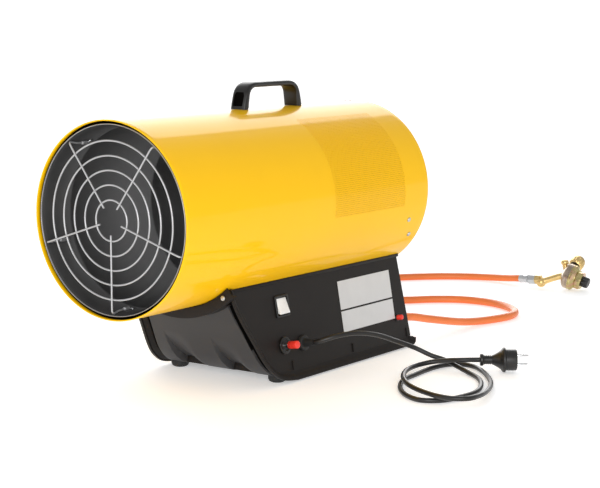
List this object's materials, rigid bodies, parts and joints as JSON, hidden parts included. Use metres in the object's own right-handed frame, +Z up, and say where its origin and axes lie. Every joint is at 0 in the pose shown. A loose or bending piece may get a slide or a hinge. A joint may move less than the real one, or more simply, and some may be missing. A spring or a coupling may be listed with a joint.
{
  "type": "forced air heater",
  "caption": "Gas forced air heater: round drum on a moulded base with fan, burner, outlet grille, push buttons, mains lead and gas hose with regulator.",
  "frame": {"origin": "on the floor under the middle of the heater, measured without the leads", "axes": "+Z up; hot air leaves along -Y; the control panel faces +X"},
  "size_m": [0.7855, 1.4057, 0.4735],
  "materials": {
    "yellow_enamel": "gloss enamel",
    "chamber_steel": "heat-darkened steel",
    "plain_steel": "zinc plated",
    "zinc_wire": "bright zinc plated wire",
    "motor_casting": "cast",
    "fan_aluminium": "stamped",
    "brass": "machined",
    "white_ceramic": "glazed ceramic",
    "black_plastic": "fine grain",
    "grey_plastic": "satin",
    "black_paint": "satin paint",
    "black_rubber": "moulded",
    "lead_rubber": "satin jacket",
    "white_plastic": "moulded",
    "red_plastic": "moulded",
    "chrome": "polished",
    "label_white": "blank foil plate",
    "orange_hose": "smooth gas hose"
  },
  "bodies": {
    "heater": {"outer_casing": "yellow_enamel", "combustion_chamber": "chamber_steel", "chamber_stay_1": "plain_steel", "chamber_stay_2": "plain_steel", "chamber_stay_3": "plain_steel", "front_grille": "zinc_wire", "rear_guard": "zinc_wire", "fan_motor": "motor_casting", "motor_bracket": "plain_steel", "burner_plate": "chamber_steel", "burner_cup": "plain_steel", "gas_nozzle": "brass", "burner_pipe": "plain_steel", "spark_electrode": "white_ceramic", "thermocouple": "brass", "overheat_thermostat": "plain_steel", "carry_handle": "black_plastic", "casing_screw_right_1": "plain_steel", "casing_screw_right_2": "plain_steel", "casing_screw_left_1": "plain_steel", "casing_screw_left_2": "plain_steel", "front_cowl": "grey_plastic", "control_panel": "black_paint", "far_panel": "black_paint", "base_pan": "black_paint", "rear_wall": "black_paint", "foot_front_right": "black_rubber", "foot_front_left": "black_rubber", "foot_rear_right": "black_rubber", "foot_rear_left": "black_rubber", "terminal_block": "white_plastic", "gas_inlet": "brass", "supply_pipe": "plain_steel", "switch_frame": "black_plastic", "valve_bezel": "black_plastic", "gas_valve": "brass", "igniter_body": "black_plastic", "cable_gland": "black_rubber", "label_upper": "label_white", "label_lower": "label_white", "mains_lead": "lead_rubber", "plug_body": "lead_rubber", "plug_pin_upper": "chrome", "plug_pin_lower": "chrome", "gas_hose": "orange_hose", "hose_ferrule": "plain_steel", "hose_union": "plain_steel", "regulator_body": "brass", "regulator_collar": "plain_steel"},
    "fan": {"motor_shaft": "plain_steel", "fan_impeller": "fan_aluminium", "fan_nut": "plain_steel"},
    "rocker": {"power_rocker": "white_plastic"},
    "valve_push": {"valve_stem": "chrome", "valve_button": "red_plastic"},
    "igniter_push": {"igniter_button": "red_plastic"},
    "regulator_dial": {"regulator_knob": "black_plastic"},
    "cylinder_coupling": {"cylinder_nut": "brass"}
  },
  "joints": [
    {"name": "fan_spin", "type": "hinge", "parent": "heater", "child": "fan", "pos_m": [0, 0.179, 0.28], "axis": [0, 1, 0], "continuous": true},
    {"name": "power_rocker", "type": "hinge", "parent": "heater", "child": "rocker", "pos_m": [0.10157, -0.043, 0.12119], "axis": [0, 1, 0], "range_deg": [0, 12]},
    {"name": "valve_press", "type": "slide", "parent": "heater", "child": "valve_push", "axis": [-0.9855, 0, -0.1695], "range_m": [0, 0.006], "stiffness_N_per_m": 500, "springref_m": -0.002},
    {"name": "igniter_press", "type": "slide", "parent": "heater", "child": "igniter_push", "axis": [-0.9855, 0, -0.1695], "range_m": [0, 0.005], "stiffness_N_per_m": 500, "springref_m": -0.002},
    {"name": "regulator_dial_turn", "type": "hinge", "parent": "heater", "child": "regulator_dial", "pos_m": [0.11541, 1.01599, 0.01863], "axis": [0.947, 0.1331, -0.2924], "range_deg": [0, 300]},
    {"name": "cylinder_nut_turn", "type": "hinge", "parent": "heater", "child": "cylinder_coupling", "pos_m": [0.07777, 1.05406, 0.05085], "axis": [0.005, 0.9039, 0.4277], "continuous": true}
  ]
}
